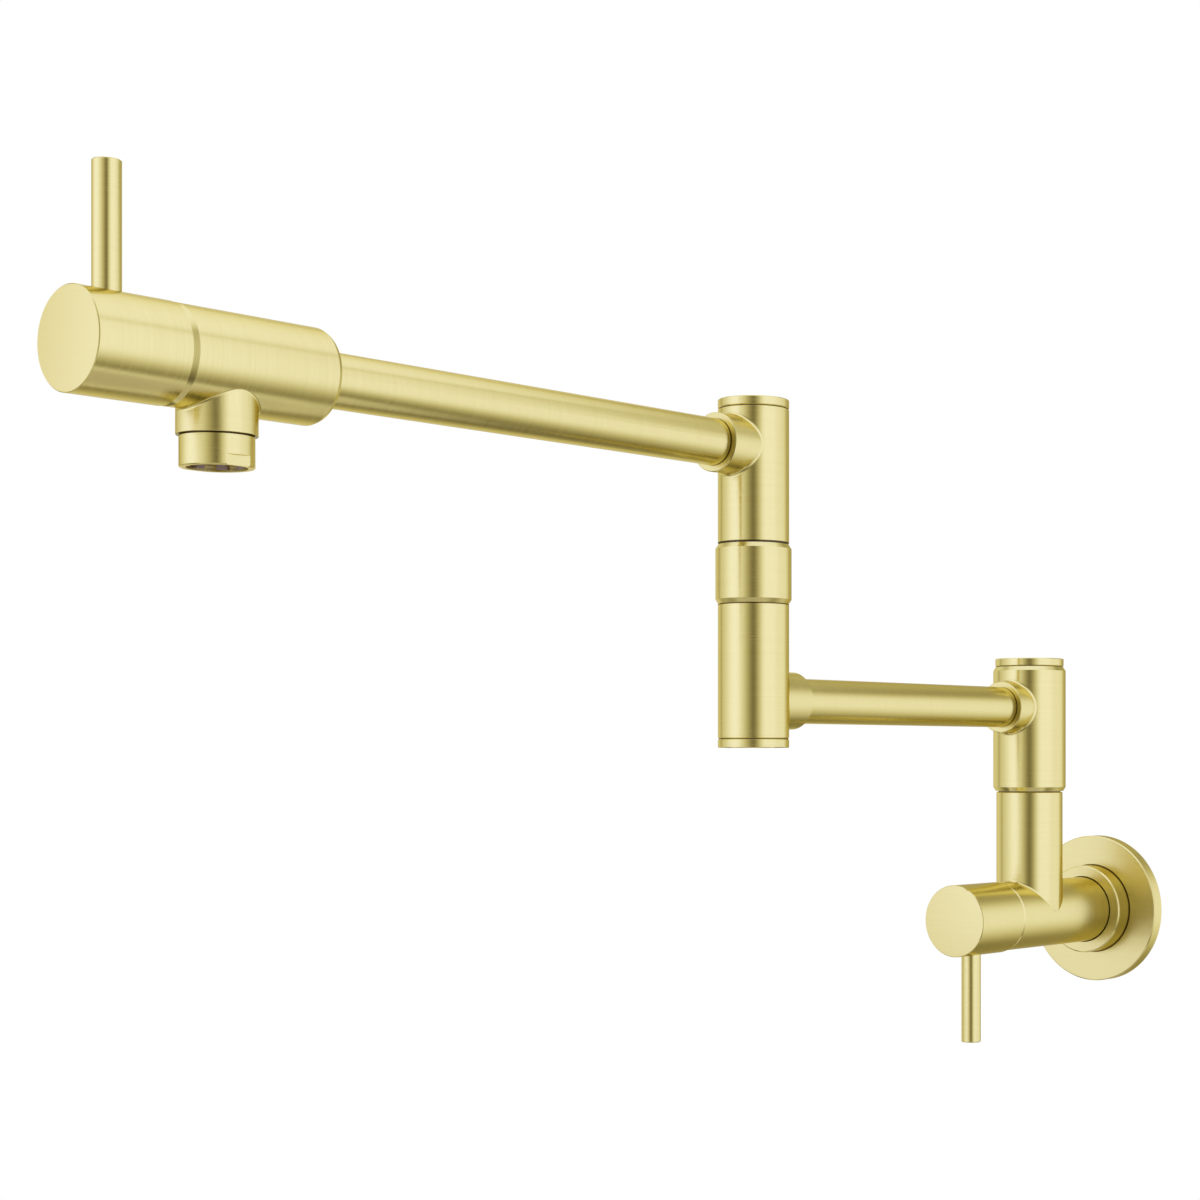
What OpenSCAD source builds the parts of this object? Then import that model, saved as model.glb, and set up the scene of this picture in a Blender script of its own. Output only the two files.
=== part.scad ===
// Wall mounted pot filler: a post on the wall, a lower arm that swings on it, an upper arm that
// swings on the middle joint, and a quarter-turn valve at each end of the water's way.
// Origin: centre of the inlet thread's mouth, in the wall plane. +Y goes into the wall, +Z is up,
// and both arms reach straight out from the wall, along -Y. All sizes are in millimetres.

/* [Reach] */
// Wall to the axis of the upright post
post_from_wall = 62.5; // [58:0.5:75]
// Post axis to the middle joint's axis
lower_reach = 201.5; // [170:0.1:280]
// Middle joint's axis to the outlet's axis
upper_reach = 261.6; // [220:0.1:340]
// Height of the lower arm's axis above the supply axis
lower_arm_z = 99.0; // [96:0.1:115]

/* [Arm tubes] */
// Outer diameter of both arm tubes
tube_d = 19.0; // [17:0.5:19.5]
// Wall of both arm tubes
tube_wall = 1.2; // [1:0.1:1.6]
// Diameter of the boss that holds a tube on each joint
boss_d = 24.0; // [23:0.1:26]
// Joint axis to the face of its boss
boss_reach = 24.4; // [24:0.1:30]
// Bevel round the boss's face
boss_bevel = 0.3; // [0.2:0.1:0.6]
// Metal between a joint's water chamber and the end of the tube
stop_land = 2.0; // [1.5:0.1:3]

/* [Middle joint] */
// Diameter of the two joint bodies and their caps
joint_d = 29.3; // [29:0.1:33]
// Length of each joint body
joint_len = 55.0; // [53:0.5:65]
// Arm axis to the capped end of its joint body
arm_to_cap = 15.8; // [15.5:0.1:19]
// Water chamber inside each joint body
joint_chamber_d = 21.0; // [20.4:0.1:22]
// Thickness of each cap's rim
cap_rim = 3.6; // [3:0.1:5]
// Groove between a cap's rim and the body it closes
cap_groove = 0.3; // [0.2:0.1:0.6]
// Length of the plug below each cap's rim
plug_len = 5.6; // [5:0.1:6]
// Diameter of the collar between the two joint bodies
collar_d = 31.3; // [31:0.1:36]
// Length of the collar
collar_len = 24.6; // [22:0.1:32]
// Outer diameter of the hollow spindle that both joint bodies sit on
spindle_d = 19.0; // [17.5:0.1:19.6]
// Wall of the hollow spindle
spindle_wall = 3.2; // [2.8:0.1:4]
// Length of spindle screwed into the lower joint body
spindle_grip = 18.0; // [14:0.5:19]
// Length of the upper joint body's bearing on the spindle
bearing_len = 26.6; // [22:0.1:28]
// Thickness of the joint's snap ring
snap_ring_t = 1.0; // [0.8:0.1:1.3]
// Depth of the snap ring's groove in the spindle
snap_groove = 0.8; // [0.5:0.1:1]
// Opening of the snap ring, measured at twice the spindle's radius
snap_open = 4.0; // [3:0.5:5]
// Spindle beyond the snap ring
spindle_past_ring = 1.2; // [1:0.1:2]
// Wall of the cap's hollow plug
plug_wall = 4.0; // [3:0.1:5]
// Running height between the collar and the upper joint body
joint_gap = 0.4; // [0.3:0.1:0.8]

/* [Wall joint] */
// Diameter of the swivel sleeve
sleeve_d = 34.8; // [34:0.1:38]
// Length of the swivel sleeve
sleeve_len = 59.4; // [56:0.1:66]
// Lower arm's axis to the top of the swivel sleeve
arm_to_sleeve_top = 19.6; // [18:0.1:21]
// Diameter of the post that the sleeve turns on
post_d = 24.0; // [22:0.1:25.5]
// Bore of the post and of the riser below it
post_bore_d = 12.0; // [10:0.5:13]
// Diameter of the riser below the sleeve
riser_d = 31.8; // [30:0.1:31.8]
// Diameter of the riser's screwed foot
riser_foot_d = 20.0; // [18:0.5:22]
// Height of the foot's seat above the supply axis
riser_seat = 12.0; // [11:0.5:13]
// Length of post screwed into the riser
post_grip = 14.0; // [10:0.5:20]
// Diameter of the post's screwed end
post_thread_d = 19.0; // [17:0.1:21]
// Diameter of the cap on top of the post
post_cap_d = 32.8; // [31:0.1:34]
// Running height between the riser and the sleeve
sleeve_gap = 0.5; // [0.4:0.1:0.8]

// Diameter of the four ports that let the water out of the post
post_port_d = 7.0; // [5:0.5:9]
// Depth of the turned ring that the ports open into
post_ring_depth = 2.0; // [1:0.1:2.5]
// Diameter of the cap's stud, which is screwed into the post
post_stud_d = 10.0; // [8:0.5:11]
// Metal between the post's bore and the stud's hole
post_web = 3.0; // [2:0.5:5]

/* [Bevels] */
// Loss of radius at the ends of the collar and the sleeve
step_bevel_r = 1.2; // [0.6:0.1:1.4]
// Length of that bevel
step_bevel_len = 1.9; // [1:0.1:3]
// Small bevel on the edges of caps, riser, knobs and levers
edge_bevel = 0.3; // [0.2:0.1:0.5]

// Loss of radius at the head's end where the tube enters
head_bevel_r = 0.6; // [0.3:0.1:1]
// Length of that bevel
head_bevel_len = 1.4; // [0.5:0.1:2.5]
// Loss of radius at the head's front
head_nose_r = 0.7; // [0.3:0.1:1]
// Length of that bevel
head_nose_len = 1.9; // [1:0.1:3]
// Loss of radius at the front of the supply body
supply_nose_r = 0.7; // [0.3:0.1:1]
// Length of that bevel
supply_nose_len = 1.0; // [0.5:0.1:2]

/* [Supply body] */
// Diameter of the supply body
supply_d = 31.9; // [31.9:0.1:32.4]
// Post axis to the front of the supply body
supply_front = 27.8; // [27:0.1:36]
// Wall radius of the inlet thread, G 1/2 at its minor diameter
inlet_r = 9.3; // [9:0.1:10.5]
// Depth of the inlet thread
inlet_depth = 16.0; // [12:0.5:20]

/* [Valve head] */
// Diameter of the valve head
head_d = 32.8; // [32.5:0.1:36]
// Outlet axis to the front of the head
head_front = 19.9; // [19.5:0.1:23]
// Outlet axis to the end of the head where the tube enters
head_back = 37.5; // [35:0.1:46]
// Length of tube inside the head
head_socket = 16.0; // [14:0.5:18]

/* [Outlet] */
// Diameter of the outlet stub
stub_d = 25.8; // [25.5:0.1:28]
// Head axis to the bottom of the outlet stub
stub_len = 23.8; // [23:0.1:30]
// Bore of the outlet stub above the aerator
outlet_bore_d = 16.0; // [14:0.5:17]
// Gap between the outlet stub and the aerator
aerator_gap = 0.3; // [0.2:0.1:0.6]
// Diameter of the aerator's visible part
aerator_d = 23.8; // [23.5:0.1:25]
// Length of the aerator's visible part
aerator_len = 10.0; // [8:0.1:12]
// Diameter of the aerator's screwed neck
aerator_neck_d = 22.8; // [22:0.1:23.4]
// Length of the aerator's screwed neck
aerator_neck_len = 5.6; // [4:0.1:5.8]
// Distance across the aerator's spanner flats
aerator_flats = 22.0; // [21.5:0.1:23.5]
// Height of the spanner flats
aerator_flat_h = 3.5; // [2:0.1:5]
// Diameter of the plastic insert
insert_d = 20.6; // [19:0.1:20.8]
// Width of the lip that holds the insert
insert_lip = 0.6; // [0.4:0.1:1.2]
// Width of the insert's teeth inside the lip
insert_ring_w = 1.0; // [0.8:0.1:1.4]
// Depth of the insert's mouth below its web
web_low = 4.0; // [3.5:0.1:6]
// Thickness of the insert's web
web_t = 2.0; // [1:0.1:2.5]
// Diameter of the holes through the web
web_hole_d = 1.8; // [1:0.1:2.2]
// Spacing of the rows of holes
web_pitch = 2.8; // [2.4:0.1:3]
// Rows of holes round the middle one
web_rows = 2; // [1:1:2]
// Number of notches between the insert's teeth
insert_notches = 8; // [6:1:10]
// Width of each of these notches
notch_w = 4.0; // [3:0.1:5]
// Depth of each of these notches
notch_depth = 3.0; // [2:0.5:4]
// Thickness of the rubber washer above the aerator
aerator_washer_t = 1.4; // [1:0.1:1.6]

/* [Handles] */
// Diameter of both knobs
knob_d = 33.1; // [33:0.1:36]
// Length of both knobs
knob_len = 33.4; // [32:0.1:40]
// Gap between a knob and the body behind it
knob_gap = 0.3; // [0.2:0.1:0.6]
// Knob face to the lever's axis
lever_from_face = 13.4; // [12.5:0.1:15]
// Diameter of both levers
lever_d = 9.0; // [8:0.1:10]
// Length of lever outside the knob
lever_len = 40.0; // [30:0.5:60]
// Depth of the lever's seat in the knob
lever_sink = 3.0; // [2.5:0.1:4]
// Diameter of the lever's threaded end
stud_d = 6.0; // [5.5:0.1:7]
// Diameter of the grub screw under the lever
grub_d = 5.0; // [4:0.1:5.2]
// Length of the grub screw
grub_len = 4.5; // [3.5:0.1:5]
// Distance across the grub screw's socket
grub_socket = 2.5; // [2:0.1:2.8]

/* [Valve cartridges] */
// Outlet axis back to the valve seat
seat_back = 9.0; // [8.5:0.1:11]
// Diameter of the way through the valve seat
seat_bore_d = 10.0; // [8:0.5:11]
// Diameter of the chamber round a cartridge
chamber_d = 19.6; // [19:0.1:20]
// Diameter of the cartridge barrel
barrel_d = 17.2; // [16.8:0.1:18]
// Diameter of the cartridge thread, G 1/2
cartridge_thread_d = 20.8; // [20.4:0.1:21.4]
// Length of the cartridge thread
cartridge_thread_len = 10.0; // [8:0.5:10.5]
// Distance across the cartridge's hexagon
hex_across = 22.0; // [21.6:0.1:22.4]
// Thickness of the hexagon
hex_t = 5.0; // [4:0.1:6]
// Length of the neck in front of the hexagon
neck_len = 4.0; // [3:0.1:5]
// Diameter of the neck
neck_d = 13.0; // [12:0.1:15]
// Diameter of the stem that the knob turns
stem_d = 7.9; // [7:0.1:8.4]
// Depth of the flat that the grub screw pinches
stem_flat = 0.5; // [0.3:0.1:0.8]
// Length of stem beyond the lever's axis
stem_past_lever = 6.0; // [4:0.5:8]
// Thickness of the clip that keeps the stem in
clip_t = 0.8; // [0.6:0.1:1]
// Depth of the clip's groove
clip_groove = 0.6; // [0.4:0.1:0.8]
// Diameter of the ceramic discs
disc_d = 13.8; // [13.4:0.1:14.2]
// Thickness of each ceramic disc
disc_t = 3.0; // [2.4:0.1:3.2]
// Angle of each of the two openings in a ceramic disc
opening_angle = 70; // [50:5:80]
// Width of the openings' land, at the disc's centre and at its rim
opening_land = 1.5; // [1:0.1:2.5]
// Thickness of the stem's driving plate
driver_t = 1.5; // [1.2:0.1:2]
// Height of the cartridge's side windows
window_len = 6.5; // [5:0.1:7]
// Width of the cartridge's side windows
window_w = 8.0; // [6:0.1:10]
// Thickness of the rubber gasket on the valve seat
gasket_t = 2.0; // [1.5:0.1:2.2]
// Room round the cartridge's hexagon inside the knob
knob_room = 0.6; // [0.4:0.1:0.8]

/* [Wall flange] */
// Diameter of the wall flange
flange_d = 72.2; // [66:0.1:80]
// Thickness of the wall flange
flange_t = 6.5; // [5:0.1:8]
// Bevel round the flange's front face
flange_bevel = 0.5; // [0.3:0.1:1.5]
// Depth of the hollow in the flange's back
flange_hollow = 2.0; // [1.5:0.1:2.4]
// Width of the flange's rim on the wall
flange_rim = 3.4; // [2.5:0.1:5]
// Diameter of the collar on the flange
hub_d = 43.0; // [42:0.1:48]
// Wall to the front of the collar on the flange
hub_front = 16.0; // [14:0.1:22]
// Gap round the supply body inside the flange's collar
hub_clearance = 0.4; // [0.3:0.1:1]
// Wall of the collar's neck, which goes through the flange
hub_neck_wall = 1.8; // [1.4:0.1:2.2]
// Width of the lock nut behind the flange
locknut_w = 5.0; // [4:0.1:6]
// Width of the foam gasket behind the flange's rim
foam_w = 5.0; // [4:0.1:6]
// Number of spanner notches in the lock nut
nut_notches = 4; // [3:1:6]
// Width of each spanner notch
nut_notch_w = 3.0; // [2:0.5:4]
// Depth of each spanner notch
nut_notch_depth = 2.0; // [1:0.5:2.5]

/* [Seals and fits] */
// How far the two thrust washers stop short of the surface round them
washer_recess = 1.0; // [0.5:0.1:2]
// Section of the O-rings on the post, the spindle and the caps
seal_d = 1.5; // [1.3:0.1:1.8]
// Section of the O-ring on each valve stem
stem_seal_d = 1.2; // [1:0.1:1.3]
// Section of the O-ring between the flange's collar and the supply body
hub_seal_d = 2.4; // [2.2:0.1:3]
// Clearance of every shaft in its bore, on the radius
fit = 0.05; // [0.03:0.01:0.08]

/* [Hidden] */
$fn = 96;
// How far a cut runs on past the face it goes through, and a piece into the one it joins
cut = 1;
// Slack beside an O-ring in its groove
seal_room = 0.2;
gold = [0.86, 0.81, 0.56];
raw_brass = [0.78, 0.64, 0.34];
steel = [0.72, 0.73, 0.74];
rubber = [0.10, 0.10, 0.10];
white = [0.93, 0.93, 0.91];
plastic = [0.52, 0.43, 0.38];

tube_r = tube_d / 2;
port_r = tube_r - tube_wall;
joint_r = joint_d / 2;
joint_chamber_r = joint_chamber_d / 2;
spindle_r = spindle_d / 2;
post_r = post_d / 2;
supply_r = supply_d / 2;
head_r = head_d / 2;
knob_r = knob_d / 2;
stem_r = stem_d / 2;
disc_r = disc_d / 2;
neck_r = neck_d / 2;
hub_bore_r = supply_r + hub_clearance;
hub_neck_r = hub_bore_r + hub_neck_wall;
hub_seal_y = (flange_t + hub_front) / 2;
flange_hollow_r = flange_d / 2 - flange_rim;
nut_r = hub_neck_r + fit + locknut_w;
step_bevel = [step_bevel_len, step_bevel_r];
head_bevel = [head_bevel_len, head_bevel_r];
hair_bevel = [edge_bevel / 2, edge_bevel / 2];
head_nose = [head_nose_len, head_nose_r];
supply_nose = [supply_nose_len, supply_nose_r];
fine_bevel = [edge_bevel, edge_bevel];

// Places along Y
post_y = -post_from_wall;
joint_y = post_y - lower_reach;
outlet_y = joint_y - upper_reach;
sleeve_stop = post_r + fit + stop_land;
joint_stop = joint_chamber_r + stop_land;

// Heights of the wall joint
sleeve_top = lower_arm_z + arm_to_sleeve_top;
sleeve_bottom = sleeve_top - sleeve_len;
riser_top = sleeve_bottom - sleeve_gap;
post_bottom = riser_top - post_grip;
post_cap_low = sleeve_top + cap_groove;
post_top = post_cap_low - fit;
post_ring_h = 2 * port_r;
post_blind = lower_arm_z + port_r;
post_stud_len = post_top - post_blind - post_web;
post_seals = [
    lower_arm_z - post_ring_h / 2 - 3 * seal_d,
    lower_arm_z + post_ring_h / 2 + 2 * seal_d,
];

// Heights of the middle joint
low_body_bottom = lower_arm_z - arm_to_cap;
low_body_top = low_body_bottom + joint_len;
collar_top = low_body_top + collar_len;
up_body_bottom = collar_top + joint_gap;
up_body_top = up_body_bottom + joint_len;
upper_arm_z = up_body_top - arm_to_cap;
spindle_bottom = low_body_top - spindle_grip;
bearing_top = up_body_bottom + bearing_len;
snap_ring_z = bearing_top + joint_gap;
spindle_len = snap_ring_z + snap_ring_t + spindle_past_ring - spindle_bottom;
joint_seals = [
    up_body_bottom + bearing_len / 3,
    up_body_bottom + 2 * bearing_len / 3,
];
cap_seal_z = cap_rim + cap_groove + plug_len / 2;

// Heights of the outlet
stub_bottom = upper_arm_z - stub_len;
aerator_top = stub_bottom - aerator_gap;
aerator_bottom = aerator_top - aerator_len;
aerator_neck_top = aerator_top + aerator_neck_len;
stub_thread_top = aerator_neck_top + aerator_washer_t + 2 * fit;
insert_hollow_r = insert_d / 2 - insert_lip - insert_ring_w;

// Places along a valve's axis, from the outlet's axis towards the knob
disc_low = gasket_t - seat_back;
rotor_low = disc_low + disc_t + fit;
driver_low = rotor_low + disc_t + fit;
window_low = driver_low + driver_t + fit;
pocket_top = window_low + window_len;
hex_r = hex_across / sqrt(3);
cavity_r = hex_r + knob_room;
cavity_len = hex_t + neck_len + clip_t + knob_room;
lever_seat_r = knob_r - lever_sink;
stem_flat_r = stem_r - stem_flat;
grub_back_r = stem_flat_r + fit + grub_len;
stud_end_r = grub_back_r + 8 * fit;
clip_r = stem_r - clip_groove;
capped_hole = stem_past_lever + knob_room;

// Places a shape built along +Z so that it points out from the wall
module to_room(y, z) {
    translate([0, y, z]) rotate([90, 0, 0]) children();
}

// Places a shape built along +Z so that it points into the wall
module to_wall(y, z) {
    translate([0, y, z]) rotate([-90, 0, 0]) children();
}

// Turned cylinder. Each bevel is [length, loss of radius], at the low and the high end
module turned(r, h, low = [0, 0], high = [0, 0]) {
    low_pts = low[1] > 0 ? [[r - low[1], 0], [r, low[0]]] : [[r, 0]];
    high_pts = high[1] > 0 ? [[r, h - high[0]], [r - high[1], h]] : [[r, h]];
    rotate_extrude() polygon(concat([[0, 0]], low_pts, high_pts, [[0, h]]));
}

module ring(r_out, r_in, h) {
    difference() {
        cylinder(r = r_out, h = h);
        translate([0, 0, -cut]) cylinder(r = r_in, h = h + 2 * cut);
    }
}

// O-ring on a shaft of radius r, just clear of the shaft's groove and of the bore round it
module shaft_seal(r, section) {
    rotate_extrude() translate([r + (fit - section) / 2, 0]) circle(d = section, $fn = 24);
}

// Groove for shaft_seal, cut round a shaft of radius r
module shaft_seal_groove(r, section) {
    translate([0, 0, -section / 2 - seal_room]) ring(r + cut, r - section, section + 2 * seal_room);
}

// Boss on a joint body that takes the end of an arm tube
module boss() {
    turned(boss_d / 2, boss_reach, high = [boss_bevel, boss_bevel]);
}

// Socket in a boss: the tube's seat down to the stop, and the water's way beyond it
module boss_socket(stop) {
    cylinder(r = port_r, h = boss_reach);
    translate([0, 0, stop]) cylinder(r = tube_r + fit, h = boss_reach - stop + cut);
}

module arm_tube(y_wall, y_room, z) {
    to_room(y_wall, z) ring(tube_r, port_r, y_wall - y_room);
}

// Valve chamber, its thread and its seat, cut into a body whose front is at front
module valve_chamber(front) {
    translate([0, 0, -seat_back]) cylinder(r = chamber_d / 2, h = front + seat_back);
    translate([0, 0, front - cartridge_thread_len])
        cylinder(r = cartridge_thread_d / 2 + fit, h = cartridge_thread_len + cut);
}

// Two opposite openings of a ceramic disc
module disc_openings() {
    for (side = [0, 180])
        rotate([0, 0, side - opening_angle / 2])
            rotate_extrude(angle = opening_angle)
                translate([opening_land, -cut]) square([disc_r - 2 * opening_land, disc_t + 2 * cut]);
}

module ceramic_disc(z) {
    translate([0, 0, z]) difference() {
        cylinder(r = disc_r, h = disc_t);
        disc_openings();
    }
}

module cartridge(front) {
    difference() {
        union() {
            translate([0, 0, disc_low]) cylinder(d = barrel_d, h = front - disc_low);
            translate([0, 0, front - cartridge_thread_len])
                cylinder(d = cartridge_thread_d, h = cartridge_thread_len);
            translate([0, 0, front]) cylinder(r = hex_r, h = hex_t, $fn = 6);
            translate([0, 0, front]) cylinder(r = neck_r, h = hex_t + neck_len);
        }
        translate([0, 0, disc_low - cut]) cylinder(r = disc_r + fit, h = pocket_top - disc_low + cut);
        cylinder(r = stem_r + fit, h = front + hex_t + neck_len + cut);
        translate([-window_w / 2, -barrel_d, window_low]) cube([window_w, 2 * barrel_d, window_len]);
    }
}

module seat_gasket() {
    translate([0, 0, fit - seat_back]) ring(barrel_d / 2, seat_bore_d / 2, gasket_t - 2 * fit);
}

function lever_at(front) = front + knob_gap + knob_len - lever_from_face;
function clip_at(front) = front + hex_t + neck_len + fit;
function stem_seal_at(front) = front + hex_t / 2;

module stem(front) {
    top = lever_at(front) + stem_past_lever;
    difference() {
        union() {
            translate([0, 0, driver_low]) difference() {
                cylinder(r = disc_r, h = driver_t);
                translate([0, 0, -disc_t]) disc_openings();
                disc_openings();
            }
            translate([0, 0, driver_low]) cylinder(r = clip_r, h = top - driver_low);
            translate([0, 0, pocket_top + fit]) turned(stem_r, top - pocket_top - fit, high = fine_bevel);
        }
        translate([0, 0, stem_seal_at(front)]) shaft_seal_groove(stem_r, stem_seal_d);
        translate([0, 0, clip_at(front)]) ring(stem_r + cut, clip_r, clip_t + fit);
        translate([-stem_r, stem_flat_r, lever_at(front) - stem_past_lever])
            cube([2 * stem_r, stem_r, 2 * stem_past_lever + cut]);
    }
}

// Clip in the stem's groove, open on one side so that it can be pushed on
module stem_clip(front) {
    translate([0, 0, clip_at(front) + fit / 2]) difference() {
        ring(stem_r + 3 * clip_groove, clip_r + fit, clip_t);
        translate([-clip_r, 0, -cut]) cube([2 * clip_r, 2 * stem_r, clip_t + 2 * cut]);
    }
}

module stem_o_ring(front) {
    translate([0, 0, stem_seal_at(front)]) shaft_seal(stem_r, stem_seal_d);
}

module knob(front) {
    back = front + knob_gap;
    difference() {
        translate([0, 0, back]) turned(knob_r, knob_len, fine_bevel, fine_bevel);
        translate([0, 0, back - cut]) cylinder(r = cavity_r, h = cavity_len + cut);
        translate([0, 0, back]) cylinder(r = stem_r + fit, h = knob_len - lever_from_face + capped_hole);
        translate([0, 0, lever_at(front)]) rotate([-90, 0, 0]) {
            cylinder(d = grub_d + 2 * fit, h = stud_end_r);
            translate([0, 0, stud_end_r - 2 * fit]) cylinder(d = stud_d + 2 * fit, h = knob_r - stud_end_r);
            translate([0, 0, lever_seat_r]) cylinder(d = lever_d + 2 * fit, h = lever_sink + cut);
        }
    }
}

module lever(front) {
    translate([0, 0, lever_at(front)]) rotate([-90, 0, 0]) {
        translate([0, 0, lever_seat_r + fit])
            turned(lever_d / 2, lever_len + lever_sink - fit, high = fine_bevel);
        translate([0, 0, stud_end_r]) cylinder(d = stud_d, h = lever_seat_r + cut - stud_end_r);
    }
}

// Grub screw that pinches the stem's flat, with its hexagon socket outwards
module grub_screw(front) {
    translate([0, 0, lever_at(front)]) rotate([-90, 0, 0])
        translate([0, 0, stem_flat_r + fit]) difference() {
            turned(grub_d / 2, grub_len, low = 2 * fine_bevel);
            translate([0, 0, grub_len / 2]) cylinder(r = grub_socket / sqrt(3), h = grub_len, $fn = 6);
        }
}

// Cap of the middle joint: a rim of the body's own diameter and a plug that closes its chamber
module joint_cap() {
    difference() {
        union() {
            turned(joint_r, cap_rim, fine_bevel, fine_bevel);
            cylinder(r = joint_chamber_r - fit, h = cap_rim + cap_groove + plug_len);
        }
        translate([0, 0, cap_seal_z]) shaft_seal_groove(joint_chamber_r - fit, seal_d);
        translate([0, 0, cap_rim + cap_groove])
            cylinder(r = joint_chamber_r - fit - plug_wall, h = plug_len + cut);
    }
}

module supply_body() {
    color(gold) to_room(post_y, 0) difference() {
        translate([0, 0, -post_from_wall])
            turned(supply_r, post_from_wall + supply_front, high = supply_nose);
        valve_chamber(supply_front);
        translate([0, 0, -post_from_wall]) cylinder(d = seat_bore_d, h = post_from_wall);
        translate([0, 0, -post_from_wall - cut]) cylinder(r = inlet_r, h = inlet_depth + cut);
        rotate([-90, 0, 0]) {
            cylinder(d = post_bore_d, h = supply_r);
            translate([0, 0, riser_seat]) cylinder(d = riser_foot_d + 2 * fit, h = supply_r);
        }
    }
}

// Riser: saddled over the supply body, with a foot screwed into it
module riser() {
    color(gold) translate([0, post_y, 0]) difference() {
        union() {
            difference() {
                turned(riser_d / 2, riser_top, high = fine_bevel);
                rotate([90, 0, 0]) cylinder(r = supply_r + fit, h = riser_d + 2 * cut, center = true);
            }
            translate([0, 0, riser_seat + fit])
                cylinder(d = riser_foot_d, h = post_bottom - riser_seat - cut);
        }
        cylinder(d = post_bore_d, h = riser_top + cut);
        translate([0, 0, post_bottom]) cylinder(d = post_thread_d + 2 * fit, h = post_grip + cut);
    }
}

// The post's water leaves through four ports into a turned ring, level with the lower arm
module pivot_post() {
    color(raw_brass) translate([0, post_y, 0]) difference() {
        union() {
            translate([0, 0, post_bottom + fit]) cylinder(d = post_thread_d, h = post_grip + cut);
            translate([0, 0, riser_top]) turned(post_r, post_top - riser_top, high = fine_bevel);
        }
        translate([0, 0, post_bottom]) cylinder(d = post_bore_d, h = post_blind - post_bottom);
        translate([0, 0, lower_arm_z - post_ring_h / 2])
            ring(post_r + cut, post_r - post_ring_depth, post_ring_h);
        for (turn = [0, 90])
            translate([0, 0, lower_arm_z]) rotate([90, 0, turn])
                cylinder(d = post_port_d, h = post_d, center = true);
        for (z = post_seals) translate([0, 0, z]) shaft_seal_groove(post_r, seal_d);
        translate([0, 0, post_top - post_stud_len])
            cylinder(d = post_stud_d + 2 * fit, h = post_stud_len + cut);
    }
}

module post_o_rings() {
    color(rubber) for (z = post_seals) translate([0, post_y, z]) shaft_seal(post_r, seal_d);
}

module post_cap() {
    color(gold) translate([0, post_y, post_cap_low]) {
        turned(post_cap_d / 2, cap_rim, fine_bevel, fine_bevel);
        translate([0, 0, edge_bevel - post_stud_len]) cylinder(d = post_stud_d, h = post_stud_len);
    }
}

module sleeve_thrust_washer() {
    color(rubber) translate([0, post_y, riser_top + fit])
        ring(riser_d / 2 - washer_recess, post_r + fit, sleeve_gap - 2 * fit);
}

module flange_disc() {
    color(gold) to_room(0, 0) difference() {
        turned(flange_d / 2, flange_t, high = [flange_bevel, flange_bevel]);
        translate([0, 0, -cut]) cylinder(r = flange_hollow_r, h = flange_hollow + cut);
        cylinder(r = hub_neck_r + fit, h = flange_t + cut);
    }
}

module flange_collar() {
    color(gold) to_room(0, 0) difference() {
        union() {
            translate([0, 0, flange_t + fit])
                turned(hub_d / 2, hub_front - flange_t - fit, hair_bevel, 2 * fine_bevel);
            translate([0, 0, fit]) cylinder(r = hub_neck_r, h = flange_t + cut);
        }
        translate([0, 0, -cut]) cylinder(r = hub_bore_r, h = hub_front + 2 * cut);
        translate([0, 0, hub_seal_y - hub_seal_d / 2 - seal_room])
            cylinder(r = supply_r + hub_seal_d + 2 * fit, h = hub_seal_d + 2 * seal_room);
    }
}

module flange_o_ring() {
    color(rubber) to_room(0, 0) translate([0, 0, hub_seal_y]) rotate_extrude()
        translate([supply_r + fit + hub_seal_d / 2, 0]) circle(d = hub_seal_d, $fn = 24);
}

// Lock nut on the collar's neck, notched for a ring spanner
module flange_locknut() {
    color(raw_brass) to_room(0, 0) difference() {
        translate([0, 0, fit]) ring(nut_r, hub_neck_r + fit, flange_hollow - 2 * fit);
        for (turn = [0:360 / nut_notches:359])
            rotate([0, 0, turn]) translate([nut_r - nut_notch_depth, -nut_notch_w / 2, -cut])
                cube([2 * nut_notch_depth, nut_notch_w, flange_hollow + 2 * cut]);
    }
}

module wall_gasket() {
    color(rubber) to_room(0, 0)
        ring(flange_hollow_r - fit, flange_hollow_r - fit - foam_w, flange_hollow - fit);
}

module swivel_sleeve() {
    color(gold) difference() {
        union() {
            translate([0, post_y, sleeve_bottom]) turned(sleeve_d / 2, sleeve_len, step_bevel, step_bevel);
            to_room(post_y, lower_arm_z) boss();
        }
        translate([0, post_y, sleeve_bottom - cut]) cylinder(r = post_r + fit, h = sleeve_len + 2 * cut);
        to_room(post_y, lower_arm_z) boss_socket(sleeve_stop);
    }
}

module lower_arm_tube() {
    color(gold) arm_tube(post_y - sleeve_stop - fit, joint_y + joint_stop + fit, lower_arm_z);
}

module lower_joint_body() {
    color(gold) difference() {
        union() {
            translate([0, joint_y, low_body_bottom]) turned(joint_r, joint_len, low = fine_bevel);
            to_wall(joint_y, lower_arm_z) boss();
        }
        translate([0, joint_y, low_body_bottom - cut])
            cylinder(r = joint_chamber_r, h = joint_len - spindle_grip + cut);
        translate([0, joint_y, low_body_bottom]) cylinder(r = spindle_r + fit, h = joint_len + cut);
        to_wall(joint_y, lower_arm_z) boss_socket(joint_stop);
    }
}

module bottom_cap() {
    color(gold) translate([0, joint_y, low_body_bottom - cap_groove - cap_rim]) joint_cap();
}

module bottom_cap_o_ring() {
    color(rubber) translate([0, joint_y, low_body_bottom - cap_groove - cap_rim + cap_seal_z])
        shaft_seal(joint_chamber_r - fit, seal_d);
}

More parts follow.
